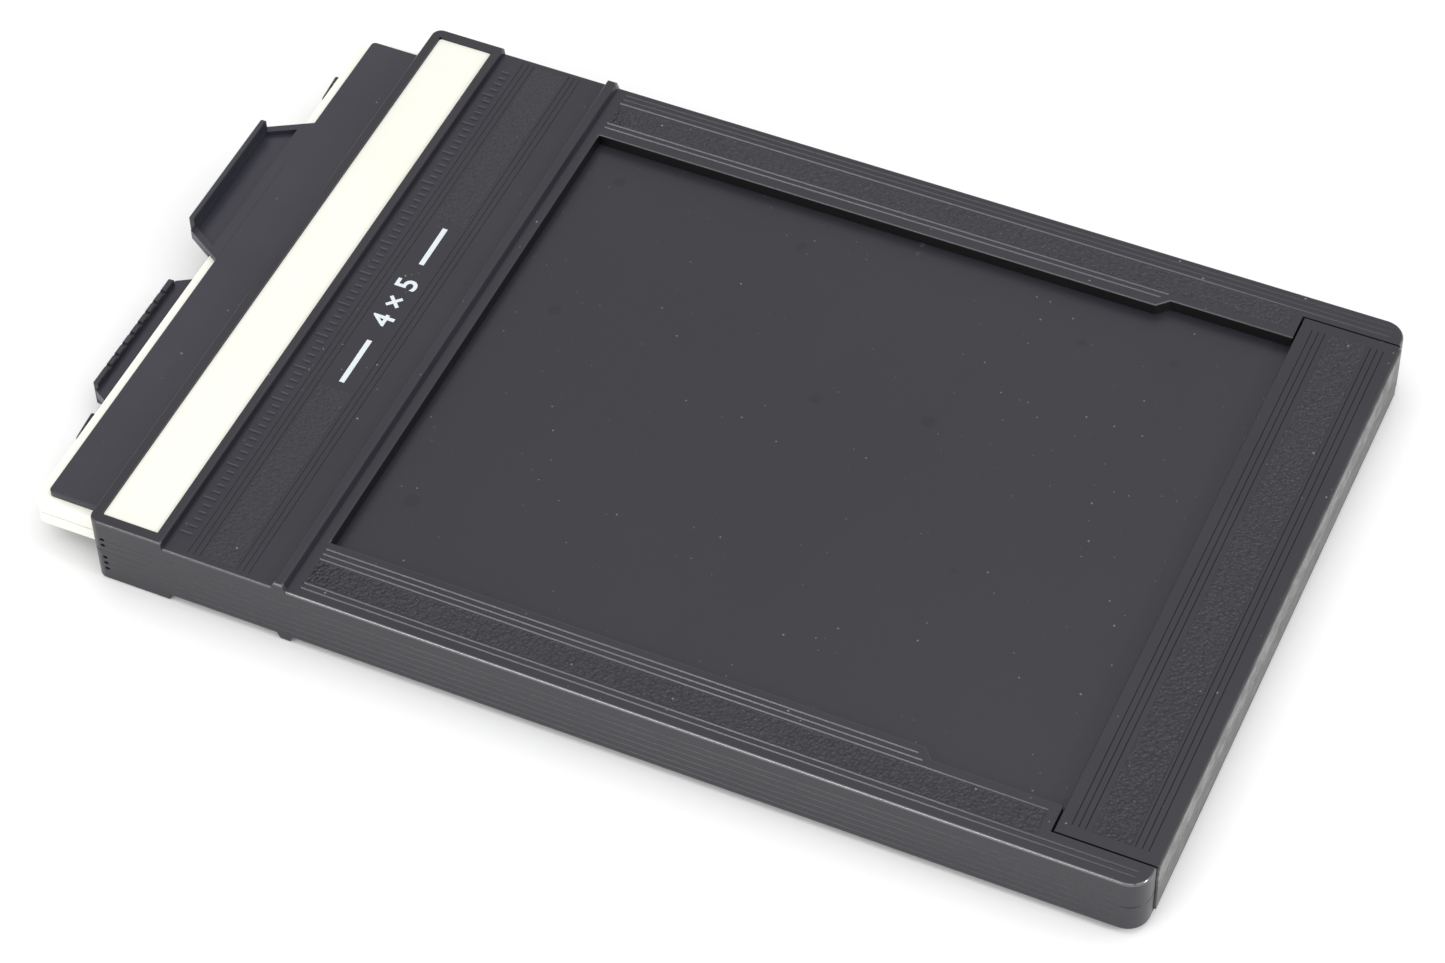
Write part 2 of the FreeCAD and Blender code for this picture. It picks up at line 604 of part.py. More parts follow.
def slide_face(name, flipped):
    """Mould the black handle face with its pull tab, finger dish, ridged rim and pegs."""
    body = new_body(name, flipped)
    low = q("blade_low")
    plan = sketch_on(body, name + "_plan", "XY_Plane", low)
    rectangle(plan, q("face_out"), q("handle_in"), q("-face_half"), q("face_half"))
    pad(body, name + "_plate", plan, q("face_top", "-blade_low"))

    def corners(x0, x1, y0, y1, z0, z1):
        return near(x0, SIZE["face_out"]) and near(x1, SIZE["face_out"]) and near(y0, y1)

    soften(body, name + "_plate_corners", q(0.8), corners)

    def brim(x0, x1, y0, y1, z0, z1):
        top = near(z0, SIZE["face_top"]) and near(z1, SIZE["face_top"])
        return top and x0 < SIZE["handle_in"] - 0.1

    soften(body, name + "_plate_edges", q(0.25), brim)

    tab = sketch_on(body, name + "_tab_plan", "XY_Plane", low)
    polygon(tab, (
        (q("face_out", 0.5), q("tab_root_low")), (q("face_out"), q("tab_root_low")),
        (q("tab_neck"), q("tab_neck_low")), (q("tab_flare_out"), q("tab_tip_low")),
        (q("tab_flare_out"), q("tab_tip_high")), (q("tab_neck"), q("tab_neck_high")),
        (q("face_out"), q("tab_root_high")), (q("face_out", 0.5), q("tab_root_high")),
    ))
    pad(body, name + "_tab", tab, q("tab_high", "-blade_low"))
    under = sketch_on(body, name + "_tab_under_plan", "XY_Plane", q("tab_low"))
    polygon(under, (
        (q("tab_step"), q("tab_neck_low", 0.45)), (q("tab_flare_out"), q("tab_tip_low")),
        (q("tab_flare_out"), q("tab_tip_high")), (q("tab_step"), q("tab_neck_high", -0.45)),
    ))
    pad(body, name + "_tab_under", under, q("blade_low", "-tab_low"))

    dish = sketch_on(body, name + "_dish_plan", "XY_Plane", q("tab_high"))
    polygon(dish, (
        (q("dish_in"), q("tab_neck_low", "dish_wall", 0.35)),
        (q("dish_in"), q("tab_neck_high", "-dish_wall", -0.35)),
        (q("dish_out"), q("tab_tip_high", "-dish_wall", 0.25)),
        (q("dish_out"), q("tab_tip_low", "dish_wall", -0.25)),
    ))
    cut_down(body, name + "_dish", dish, q("dish_deep"))

    rim = sketch_on(body, name + "_rim_plan", "XY_Plane", q("rim_low"))
    rectangle(rim, q("tab_out"), q("rim_in"), q("rim_low_end"), q("rim_high_end"))
    pad(body, name + "_rim", rim, q("rim_high", "-rim_low"))

    def rim_ends(x0, x1, y0, y1, z0, z1):
        outer = near(x0, SIZE["tab_out"]) and near(x1, SIZE["tab_out"])
        return outer and near(y0, y1)

    soften(body, name + "_rim_ends", q(0.3), rim_ends)

    def rim_edges(x0, x1, y0, y1, z0, z1):
        high = near(z0, SIZE["rim_high"]) and near(z1, SIZE["rim_high"])
        low = near(z0, SIZE["rim_low"]) and near(z1, SIZE["rim_low"])
        return high or low

    soften(body, name + "_rim_edges", q("rim_soft"), rim_edges)

    for step in range(8):
        middle = q((-1, "notch_first"), (-step, "notch_pitch"), (0.5, "notch_wide"))
        cutter = sketch_on(body, "%s_notch_%d" % (name, step + 1), "XZ_Plane", middle)
        polygon(cutter, ((q("tab_out", -1), q("rim_low", -1)), (q("rim_in", 0.3), q("rim_low", -1)),
                         (q("rim_in", 0.3), q("rim_low", "notch_deep")),
                         (q("tab_out", -1), q("rim_low", "notch_deep"))))
        cut_down(body, "%s_notch_cut_%d" % (name, step + 1), cutter, q("notch_wide"))

    pegs = sketch_on(body, name + "_peg_plan", "XY_Plane", q("peg_low"))
    for step in (-1.5, -0.5, 0.5, 1.5):
        circle(pegs, q("peg_along"), q((step, "peg_across")), q("peg_radius"))
    pad(body, name + "_pegs", pegs, q("blade_high", "-peg_low", 0.2))

    bed = sketch_on(body, name + "_rebate_plan", "XY_Plane", low)
    rectangle(bed, q("tongue_end"), q("handle_in", 1), q("-tongue_half"), q("tongue_half"))
    for step in (-1.5, -0.5, 0.5, 1.5):
        circle(bed, q("peg_along"), q((step, "peg_across")), q("peg_radius"))
    cut_up(body, name + "_rebate", bed, q("blade_high", "-blade_low"))
    return body


def slide_back(name, flipped):
    """Mould the white handle back that carries the pegs' sockets and clears the resting locks."""
    body = new_body(name, flipped)
    low = q("back_low")
    plan = sketch_on(body, name + "_plan", "XY_Plane", low)
    rectangle(plan, q("back_out"), q("handle_in"), q("-back_half"), q("back_half"))
    pad(body, name + "_plate", plan, q("blade_low", "-back_low"))

    def corners(x0, x1, y0, y1, z0, z1):
        return near(x0, SIZE["back_out"]) and near(x1, SIZE["back_out"]) and near(y0, y1)

    soften(body, name + "_corners", q("back_corner"), corners)

    def brim(x0, x1, y0, y1, z0, z1):
        top = near(z0, SIZE["blade_low"]) and near(z1, SIZE["blade_low"])
        return top and x0 < SIZE["handle_in"] - 0.1

    soften(body, name + "_edges", q("back_soft"), brim)

    ways = sketch_on(body, name + "_way_plan", "XY_Plane", low)
    for sign in (1, -1):
        rectangle(ways, q("back_out", -1), q("handle_in", 1), q((sign, "lock_way_low")),
                  q((sign, "lock_way_high")))
    cut_up(body, name + "_ways", ways, q("lock_way_roof", "-back_low"))

    sockets = sketch_on(body, name + "_socket_plan", "XY_Plane", q("blade_low"))
    for step in (-1.5, -0.5, 0.5, 1.5):
        circle(sockets, q("peg_along"), q((step, "peg_across")), q("peg_radius", "peg_play"))
    cut_down(body, name + "_sockets", sockets, q("blade_low", "-peg_low", 0.05))
    return body


# ------------------------------------------------------------------------------------- flaps and hinges
def flap(name, flipped):
    """Mould one loading flap: a plate over the blade tip and the end wall it turns on."""
    body = new_body(name, flipped)
    side = sketch_on(body, name + "_side", "XZ_Plane")
    polygon(side, (
        (q("flap_start"), q("flap_under")), (q("flap_wall"), q("flap_under")),
        (q("flap_wall"), q("flap_foot")), (q("body_end"), q("flap_foot")),
        (q("body_end"), q("body_half_thick")), (q("flap_start"), q("body_half_thick")),
    ))
    pad(body, name + "_angle", side, q((2, "flap_half")), both=True)

    def brow(x0, x1, y0, y1, z0, z1):
        level = near(z0, SIZE["body_half_thick"]) and near(z1, SIZE["body_half_thick"])
        return level and near(x0, SIZE["body_end"]) and near(x1, SIZE["body_end"])

    soften(body, name + "_end_edge", q("flap_soft"), brow)

    def front(x0, x1, y0, y1, z0, z1):
        level = near(z0, SIZE["body_half_thick"]) and near(z1, SIZE["body_half_thick"])
        return level and near(x0, SIZE["flap_start"]) and near(x1, SIZE["flap_start"])

    soften(body, name + "_front_edge", q("edge_window"), front)

    lines = sketch_on(body, name + "_line_side", "XZ_Plane")
    for line in ("flap_line_near", "flap_line_far"):
        for step in range(3):
            vee_up(lines, q(line, (step, "line_pitch")), "fine_deep")
    slit(body, name + "_lines", lines, q((2, "flap_line_half")))
    return body


def hinge_tape(name, flipped):
    """Cut the cloth half that is glued to the flap's end wall and bends at the mid-plane."""
    tape = doc.addObject("Part::Box", name)
    tape.Label = name
    for prop, measure in (("Length", q("tape_thick")), ("Width", q((2, "tape_half"))),
                          ("Height", q("tape_top", "-flap_foot"))):
        setattr(tape, prop, measure[1])
        bind(tape, prop, measure)
    if flipped:
        spot = (q("body_end"), q("-tape_half"), q("mid_height", "-tape_top"))
    else:
        spot = (q("body_end"), q("-tape_half"), q("mid_height", "flap_foot"))
    for axis, measure in zip("xyz", spot):
        bind(tape, "Placement.Base." + axis, measure)
    doc.recompute()
    return tape


# ------------------------------------------------------------------------------------------------ locks
def lock(name, sign):
    """Bend one wire lock: a shaft between the frame halves, a collar, and an arm past the handles."""
    body = new_body(name, across=q((sign, "lock_across")))
    ring = sketch_on(body, name + "_ring", "YZ_Plane", q("lock_root"))
    circle(ring, q(0), q(0), q("lock_radius"))
    path = sketch_on(body, name + "_path", "XY_Plane")
    x_arm = SIZE["lock_arm_along"]
    bend = SIZE["lock_bend"]
    root = FreeCAD.Vector(SIZE["lock_root"], 0, 0)
    straight = FreeCAD.Vector(x_arm + bend, 0, 0)
    turned_up = FreeCAD.Vector(x_arm, bend, 0)
    end = FreeCAD.Vector(x_arm - SIZE["lock_arm_flare"], SIZE["lock_arm_end"], 0)
    ring_of_bend = Part.Circle(FreeCAD.Vector(x_arm + bend, bend, 0), FreeCAD.Vector(0, 0, 1), bend)
    path.addGeometry(Part.LineSegment(root, straight), False)
    path.addGeometry(Part.ArcOfCircle(ring_of_bend, math.pi, 1.5 * math.pi), False)
    path.addGeometry(Part.LineSegment(turned_up, end), False)
    path.addConstraint(Sketcher.Constraint("Tangent", 0, 2, 1, 2))
    path.addConstraint(Sketcher.Constraint("Tangent", 1, 1, 2, 1))
    holds = ((0, 1, q("lock_root"), q(0)), (0, 2, q("lock_arm_along", "lock_bend"), q(0)),
             (2, 2, q("lock_arm_along", "-lock_arm_flare"), q("lock_arm_end")))
    for geometry, point, along, across in holds:
        for kind, measure in (("DistanceX", along), ("DistanceY", across)):
            rule = Sketcher.Constraint(kind, -1, 1, geometry, point, measure[1])
            number = path.addConstraint(rule)
            path.setExpression("Constraints[%d]" % number, measure[0])
    number = path.addConstraint(Sketcher.Constraint("Radius", 1, bend))
    path.setExpression("Constraints[%d]" % number, q("lock_bend")[0])
    wire = body.newObject("PartDesign::AdditivePipe", name + "_wire")
    wire.Profile = ring
    wire.Spine = (path, ["Edge1", "Edge2", "Edge3"])
    body.Tip = wire
    doc.recompute()
    collar = sketch_on(body, name + "_collar_ring", "YZ_Plane", q("collar_start"))
    circle(collar, q(0), q(0), q("collar_radius"))
    pad(body, name + "_collar", collar, q("collar_end", "-collar_start"))
    return body


# --------------------------------------------------------------------------------------------- assembly
SUBPARTS = [septum()]
for half, turned in (("upper", False), ("lower", True)):
    SUBPARTS.append(frame_half(half + "_frame", turned))
    near_sign = 1 if turned else -1
    SUBPARTS.append(film_guide(half + "_near_film_guide", turned, near_sign))
    SUBPARTS.append(film_guide(half + "_far_film_guide", turned, -near_sign))
    SUBPARTS.append(trap_felt(half + "_trap_felt", turned))
    SUBPARTS.append(trap_spring(half + "_trap_spring", turned))
    SUBPARTS.append(label(half + "_label", turned))
    SUBPARTS.append(slide_blade(half + "_slide_blade", turned))
    SUBPARTS.append(slide_face(half + "_slide_face", turned))
    SUBPARTS.append(slide_back(half + "_slide_back", turned))
    SUBPARTS.append(flap(half + "_flap", turned))
    SUBPARTS.append(hinge_tape(half + "_hinge_tape", turned))
SUBPARTS.append(lock("near_lock", -1))
SUBPARTS.append(lock("far_lock", 1))

doc.recompute()
for item in doc.Objects:
    if "Invalid" in item.State or "Error" in item.State:
        raise RuntimeError("%s does not rebuild" % item.Label)
for item in SUBPARTS:
    if item.Shape.isNull() or not item.Shape.isValid():
        raise RuntimeError("%s has no valid shape" % item.Label)
    if len(item.Shape.Solids) != 1:
        raise RuntimeError("%s is %d solids" % (item.Label, len(item.Shape.Solids)))
    item.Shape.exportStep("parts/%s.step" % item.Label)
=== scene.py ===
import math

import bpy
from mathutils import Matrix, Vector


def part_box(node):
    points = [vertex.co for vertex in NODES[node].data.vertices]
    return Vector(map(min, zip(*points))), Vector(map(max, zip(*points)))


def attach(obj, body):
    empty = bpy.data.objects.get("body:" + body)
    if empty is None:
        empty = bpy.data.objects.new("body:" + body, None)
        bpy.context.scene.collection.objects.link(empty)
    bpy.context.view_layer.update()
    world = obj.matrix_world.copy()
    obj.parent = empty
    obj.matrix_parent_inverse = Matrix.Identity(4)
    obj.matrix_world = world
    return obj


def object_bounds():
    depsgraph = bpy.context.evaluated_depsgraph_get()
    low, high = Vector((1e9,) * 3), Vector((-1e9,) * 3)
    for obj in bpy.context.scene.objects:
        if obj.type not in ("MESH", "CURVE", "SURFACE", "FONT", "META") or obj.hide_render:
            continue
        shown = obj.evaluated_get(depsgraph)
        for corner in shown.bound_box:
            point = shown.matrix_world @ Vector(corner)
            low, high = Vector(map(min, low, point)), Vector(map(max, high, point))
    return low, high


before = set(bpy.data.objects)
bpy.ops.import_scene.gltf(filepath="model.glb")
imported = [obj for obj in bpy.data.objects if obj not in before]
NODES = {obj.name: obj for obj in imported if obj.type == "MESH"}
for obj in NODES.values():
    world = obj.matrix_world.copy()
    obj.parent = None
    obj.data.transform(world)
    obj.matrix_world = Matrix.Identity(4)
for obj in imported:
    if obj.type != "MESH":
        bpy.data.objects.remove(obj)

cad_low, cad_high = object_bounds()
MM = 0.001
MID = (cad_low[2] + cad_high[2]) / 2        # height of the mid-plane between the two frame halves
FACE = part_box("upper_flap")[1][2]           # height of the upper face: rails, plateau and flap

# Where the masks of the black mouldings start and end, in metres. "Along" is x. "Across" is the distance
# from the long axis, and a signed one is as seen on the upper face.
CRISP = 0.0001                              # half width of a mask's soft edge
ANY = -1.0                                  # lower end of a band with no lower end
NEAR_A_FACE = (0.0046, 0.0050)              # distance from the mid-plane
LONG_EDGE_ACROSS = (0.0593, 0.0595)
PLATEAU_FADE_ALONG = (-0.047, -0.041)
CORNER_ALONG = (0.0938, 0.0942)
CORNER_ACROSS = (0.0550, 0.0560)
NEAR_LINES_ACROSS = (-0.0592, -0.0478)
FAR_LINES_ACROSS = (0.0478, 0.0571)
RAIL_LINES_ALONG = (-0.0424, 0.0940)
RAIL_FADE_ALONG = (0.055, 0.094)
WINDOW_ALONG = (-0.0423, 0.0830)
WINDOW_ACROSS = 0.0505
NEAR_GRAIN = (-0.0567, -0.0524, -0.0419, 0.0777)        # across from, across to, along from, along to
FAR_GRAIN = (0.0519, 0.0561, -0.0419, 0.0780)
PLATEAU_GRAIN_ALONG = (-0.0589, -0.0532)
PLATEAU_GRAIN_ACROSS = 0.0588
PLAIN_PANEL_ACROSS = (-0.0198, 0.0200)
FLAP_GRAIN_ALONG = (0.0849, 0.0910)
FLAP_GRAIN_ACROSS = 0.0531

# Thread spacing of the hinge cloth, in metres
WARP_PITCH = 0.00042
WEFT_PITCH = 0.00036


# ------------------------------------------------------------------------------------ node helpers
class Graph:
    """A short way to write one node material. Values may be numbers or sockets."""

    INPUTS = {"colour": "Base Color", "roughness": "Roughness", "normal": "Normal", "metallic": "Metallic",
              "sheen": "Sheen Weight"}

    def __init__(self, name):
        self.material = bpy.data.materials.new(name)
        self.material.use_nodes = True
        self.tree = self.material.node_tree
        self.tree.nodes.clear()
        output = self.add("ShaderNodeOutputMaterial")
        self.shader = self.add("ShaderNodeBsdfPrincipled")
        self.tree.links.new(self.shader.outputs[0], output.inputs[0])
        place = self.add("ShaderNodeTexCoord")
        self.place = place.outputs["Object"]
        split = self.add("ShaderNodeSeparateXYZ")
        self.tree.links.new(self.place, split.inputs[0])
        self.x, self.y, self.z = split.outputs
        normal = self.add("ShaderNodeSeparateXYZ")
        self.tree.links.new(place.outputs["Normal"], normal.inputs[0])
        self.level = self.math("ABSOLUTE", normal.outputs[2])       # 1 on level faces, 0 on upright ones

    def add(self, kind):
        return self.tree.nodes.new(kind)

    def put(self, value, socket):
        if isinstance(value, bpy.types.NodeSocket):
            self.tree.links.new(value, socket)
        elif isinstance(value, tuple) and len(value) == 3 and socket.type == "RGBA":
            socket.default_value = (*value, 1)
        else:
            socket.default_value = value

    def math(self, operation, a, b=0.0):
        node = self.add("ShaderNodeMath")
        node.operation = operation
        self.put(a, node.inputs[0])
        self.put(b, node.inputs[1])
        return node.outputs[0]

    def times(self, a, b):
        return self.math("MULTIPLY", a, b)

    def highest(self, a, b):
        return self.math("MAXIMUM", a, b)

    def ramp(self, value, low, high, start=0.0, end=1.0):
        """Smooth step from start to end while the value goes from low to high."""
        node = self.add("ShaderNodeMapRange")
        node.interpolation_type = "SMOOTHSTEP"
        for item, socket in zip((value, low, high, start, end), node.inputs):
            self.put(item, socket)
        return node.outputs[0]

    def band(self, value, low, high, soft=CRISP):
        """1 while the value is between low and high, 0 elsewhere."""
        rise = self.ramp(value, low - soft, low + soft)
        fall = self.ramp(value, high - soft, high + soft, 1.0, 0.0)
        return self.times(rise, fall)

    def mix(self, factor, a, b):
        node = self.add("ShaderNodeMix")
        node.data_type = "RGBA"
        self.put(factor, node.inputs[0])
        self.put(a, node.inputs[6])
        self.put(b, node.inputs[7])
        return node.outputs[2]

    def noise(self, scale, detail=2.0, roughness=0.5, stretch=None):
        node = self.add("ShaderNodeTexNoise")
        self.put(self.stretched(stretch), node.inputs["Vector"])
        node.inputs["Scale"].default_value = scale
        node.inputs["Detail"].default_value = detail
        node.inputs["Roughness"].default_value = roughness
        return node.outputs[0]

    def cells(self, scale, feature="F1", stretch=None, warp=None, plan=False):
        """Voronoi cells; those in plan are the same at every height, for marks on level faces."""
        node = self.add("ShaderNodeTexVoronoi")
        node.feature = feature
        node.voronoi_dimensions = "2D" if plan else "3D"
        vector = self.stretched(stretch)
        if warp is not None:
            vector = self.warped(vector, *warp)
        self.put(vector, node.inputs["Vector"])
        node.inputs["Scale"].default_value = scale
        return node

    def draws(self, node):
        """The three random numbers of each cell."""
        colour = self.add("ShaderNodeSeparateColor")
        self.tree.links.new(node.outputs["Color"], colour.inputs[0])
        return colour.outputs

    def stretched(self, stretch):
        """Object coordinates; stretch is (scale of x, scale of y, turn about z)."""
        if stretch is None:
            return self.place
        scale_x, scale_y, turn = stretch
        node = self.add("ShaderNodeMapping")
        self.tree.links.new(self.place, node.inputs["Vector"])
        node.inputs["Rotation"].default_value = (0.0, 0.0, turn)
        node.inputs["Scale"].default_value = (scale_x, scale_y, 1.0)
        return node.outputs[0]

    def warped(self, vector, scale, amount):
        noise = self.add("ShaderNodeTexNoise")
        self.tree.links.new(vector, noise.inputs["Vector"])
        noise.inputs["Scale"].default_value = scale
        moved = self.add("ShaderNodeVectorMath")
        moved.operation = "MULTIPLY_ADD"
        self.tree.links.new(noise.outputs["Color"], moved.inputs[0])
        moved.inputs[1].default_value = (amount, amount, amount)
        self.tree.links.new(vector, moved.inputs[2])
        return moved.outputs[0]

    def bump(self, height, strength, distance, below=None):
        node = self.add("ShaderNodeBump")
        self.put(strength, node.inputs["Strength"])
        node.inputs["Distance"].default_value = distance
        self.put(height, node.inputs["Height"])
        if below is not None:
            self.put(below, node.inputs["Normal"])
        return node.outputs[0]

    def finish(self, **inputs):
        for name, value in inputs.items():
            self.put(value, self.shader.inputs[self.INPUTS[name]])
        return self.material


# ------------------------------------------------------------------------------ marks and patterns
def specks(g, scale, share, size):
    """Sparse small spots on level faces; share is the part of the cells that hold one."""
    node = g.cells(scale, plan=True)
    draw = g.draws(node)
    chosen = g.math("GREATER_THAN", draw[0], 1.0 - share)
    radius = g.times(draw[1], size)
    spot = g.ramp(g.math("SUBTRACT", node.outputs["Distance"], radius), 0.0, 0.04, 1.0, 0.0)
    return g.times(g.times(chosen, spot), g.ramp(g.level, 0.7, 0.9))


def dust(g, coarse, fine):
    """Coarse and fine dust; each is the share of cells that hold a grain, and the grain's size."""
    return g.highest(specks(g, 420.0, *coarse), g.times(specks(g, 1100.0, *fine), 0.6))


def scratches(g, scale, angle, share):
    """Sparse hairline scratches on level faces, roughly along one direction."""
    node = g.cells(scale, stretch=(1.0, 0.05, angle), warp=(30.0, 0.0015), plan=True)
    chosen = g.math("GREATER_THAN", g.draws(node)[2], 1.0 - share)
    line = g.ramp(node.outputs["Distance"], 0.01, 0.035, 1.0, 0.0)
    broken = g.ramp(g.noise(900.0), 0.45, 0.6)
    return g.times(g.times(chosen, line), g.times(broken, g.ramp(g.level, 0.7, 0.9)))


def pebble(g):
    """Height of the moulded leather grain: rounded pebbles about half a millimetre across."""
    node = g.cells(1650.0, "SMOOTH_F1", warp=(900.0, 0.0002))
    node.inputs["Smoothness"].default_value = 0.35
    small = g.noise(4200.0, 2.0, 0.6)
    return g.math("ADD", g.times(node.outputs["Distance"], -1.0), g.times(small, 0.45))


def turned(g):
    """Signed distance across; the lower face is the upper one turned over about the long axis."""
    return g.times(g.y, g.math("SIGN", g.math("SUBTRACT", g.z, MID)))


def across(g):
    """Distance from the long axis."""
    return g.math("ABSOLUTE", g.y)


def patch(g, signed_across, limits):
    """A rectangle on either face."""
    return g.times(g.band(signed_across, *limits[:2]), g.band(g.x, *limits[2:]))


def frame_grain(g):
    """Where the frame halves carry leather grain: along both rails and, fainter, across the plateau."""
    signed = turned(g)
    rails = g.highest(patch(g, signed, NEAR_GRAIN), patch(g, signed, FAR_GRAIN))
    bar = g.times(g.band(g.x, *PLATEAU_GRAIN_ALONG), g.band(across(g), ANY, PLATEAU_GRAIN_ACROSS))
    plain = g.band(signed, *PLAIN_PANEL_ACROSS)
    bar = g.times(bar, g.math("SUBTRACT", 0.5, g.times(plain, 0.5)))
    return g.times(g.highest(rails, bar), g.ramp(g.level, 0.9, 0.97))


def flap_grain(g):
    """Where a flap carries leather grain: between its two groups of lines."""
    area = g.times(g.band(g.x, *FLAP_GRAIN_ALONG), g.band(across(g), ANY, FLAP_GRAIN_ACROSS))
    return g.times(area, g.ramp(g.level, 0.9, 0.97))


def window_wall_painted_shade(g):
    """Painted shade: the wall round the window is painted deep black, as where little light gets in."""
    fine = CRISP / 2
    area = g.times(g.band(g.x, *WINDOW_ALONG, fine), g.band(across(g), ANY, WINDOW_ACROSS, fine))
    return g.times(area, g.ramp(g.level, 0.2, 0.5, 1.0, 0.0))


def polish_and_painted_highlight(g, with_rails):
    """Slopes with a painted highlight, partly real polish from handling: long edges, flap-end corners and
    the lines of the rails.
    """
    corner = g.times(g.ramp(g.x, *CORNER_ALONG), g.ramp(across(g), *CORNER_ACROSS))
    long_edge = g.times(g.ramp(across(g), *LONG_EDGE_ACROSS), g.ramp(g.x, *PLATEAU_FADE_ALONG, 0.55, 1.0))
    area = g.highest(long_edge, corner)
    if with_rails:
        signed = turned(g)
        lines = g.math("ADD", g.band(signed, *NEAR_LINES_ACROSS), g.band(signed, *FAR_LINES_ACROSS))
        rails = g.times(lines, g.band(g.x, *RAIL_LINES_ALONG))
        area = g.highest(area, g.times(rails, g.ramp(g.x, *RAIL_FADE_ALONG, 0.33, 0.08)))
    height = g.math("ABSOLUTE", g.math("SUBTRACT", g.z, MID))
    area = g.times(area, g.ramp(height, *NEAR_A_FACE))
    return g.times(g.band(g.level, 0.15, 0.95, 0.04), area)


# ---------------------------------------------------------------------------------------- materials
def tint(tone, red, green, blue):
    return (tone * red, tone * green, tone * blue)


def moulded_black(name, tone, grain_of=None):
    """Satin black moulding: fine orange peel, dust, edges polished and painted lighter as highlight,
    leather grain where asked with painted shade along its edges, and on the frame painted shade on the
    window wall.
    """
    g = Graph(name)
    calm = g.math("SUBTRACT", 1.0, g.band(g.level, 0.1, 0.97, 0.02))
    normal = g.bump(g.noise(5200.0, 3.0, 0.6), g.times(calm, 0.03), 0.00004)
    normal = g.bump(g.noise(420.0), g.times(calm, 0.015), 0.0002, normal)
    patchy = g.noise(60.0, 3.0, 0.55)
    rough = g.ramp(patchy, 0.3, 0.75, 0.29, 0.36)
    colour = g.mix(g.ramp(patchy, 0.3, 0.75), tint(tone, 1.0, 0.98, 1.4), tint(tone, 1.12, 1.1, 1.55))
    on_frame = grain_of is frame_grain
    if grain_of is not None:
        grain = grain_of(g)
        normal = g.bump(grain, 1.0, 0.00005, normal)
        normal = g.bump(g.times(pebble(g), grain), 1.0, 0.00050, normal)
        worn = g.mix(g.ramp(g.noise(1300.0, 3.0, 0.6), 0.35, 0.65), tint(tone, 0.75, 0.73, 1.15),
                     tint(tone, 1.5, 1.48, 2.05))
        colour = g.mix(g.times(grain, 0.8), colour, worn)
        # Painted shade: a near-black line along the edge of each grain field, the shade of its low step.
        step = g.band(grain, 0.12, 0.38, 0.1) if on_frame else g.band(grain, 0.2, 0.8, 0.15)
        colour = g.mix(g.times(step, 0.7), colour, (0.003, 0.003, 0.004))
    edge = polish_and_painted_highlight(g, on_frame)
    rough = g.math("SUBTRACT", rough, g.times(edge, 0.17))
    colour = g.mix(g.times(dust(g, (0.03, 0.06), (0.01, 0.12)), 0.4), colour, (0.42, 0.42, 0.40))
    colour = g.mix(g.times(scratches(g, 90.0, 0.5, 0.03), 0.08), colour, (0.22, 0.22, 0.22))
    if on_frame:
        # Painted shade on the window wall, near black.
        colour = g.mix(window_wall_painted_shade(g), colour, (0.004, 0.004, 0.0045))
    # Painted highlight, partly real polish: the edge slopes and rail lines turn a lighter, metallic grey
    # so their highlight lines come out bright.
    colour = g.mix(edge, colour, (0.20, 0.20, 0.205))
    return g.finish(colour=colour, roughness=rough, normal=normal, metallic=edge)


def slide_sheet():
    """Smooth dark-slide sheet with faint smears, a few blots, dust and hairline scratches."""
    g = Graph("slide_sheet")
    normal = g.bump(g.noise(6500.0), 0.06, 0.00005)
    normal = g.bump(g.noise(30.0, 1.0), 0.02, 0.0005, normal)
    smear = g.noise(26.0, 4.0, 0.6, stretch=(1.0, 0.45, 0.4))
    rough = g.ramp(smear, 0.3, 0.75, 0.32, 0.36)
    colour = g.mix(g.ramp(smear, 0.3, 0.75), (0.0175, 0.0168, 0.0232), (0.0190, 0.0183, 0.0250))
    colour = g.mix(g.times(specks(g, 62.0, 0.22, 0.07), 0.45), colour, (0.006, 0.006, 0.007))
    colour = g.mix(g.times(dust(g, (0.05, 0.05), (0.012, 0.11)), 0.35), colour, (0.40, 0.40, 0.40))
    marks = g.highest(scratches(g, 60.0, 0.45, 0.05), scratches(g, 75.0, -0.25, 0.03))
    colour = g.mix(g.times(marks, 0.3), colour, (0.16, 0.16, 0.165))
    return g.finish(colour=colour, roughness=rough, normal=normal)


def writing_strip():
    """Matt ivory writing strip, a little yellowed and rubbed."""
    g = Graph("writing_strip")
    tooth = g.noise(3800.0, 4.0, 0.7)
    age = g.noise(45.0, 4.0, 0.6)
    colour = g.mix(g.ramp(age, 0.35, 0.75), (0.81, 0.805, 0.735), (0.79, 0.78, 0.70))
    colour = g.mix(g.times(scratches(g, 140.0, 1.4, 0.05), 0.12), colour, (0.45, 0.43, 0.38))
    colour = g.mix(g.times(specks(g, 300.0, 0.004, 0.12), 0.6), colour, (0.35, 0.26, 0.12))
    return g.finish(colour=colour, roughness=g.ramp(age, 0.3, 0.7, 0.5, 0.62),
                    normal=g.bump(tooth, 0.12, 0.00005))


def handle_white():
    """White handle moulding with a faint warm cast and light soiling."""
    g = Graph("handle_white")
    cloud = g.noise(90.0, 4.0, 0.6)
    colour = g.mix(g.ramp(cloud, 0.35, 0.8), (0.95, 0.95, 0.87), (0.92, 0.91, 0.82))
    colour = g.mix(g.times(specks(g, 700.0, 0.012, 0.10), 0.4), colour, (0.2, 0.19, 0.17))
    return g.finish(colour=colour, roughness=g.ramp(cloud, 0.3, 0.7, 0.32, 0.42),
                    normal=g.bump(g.noise(4200.0, 3.0, 0.6), 0.08, 0.00005))


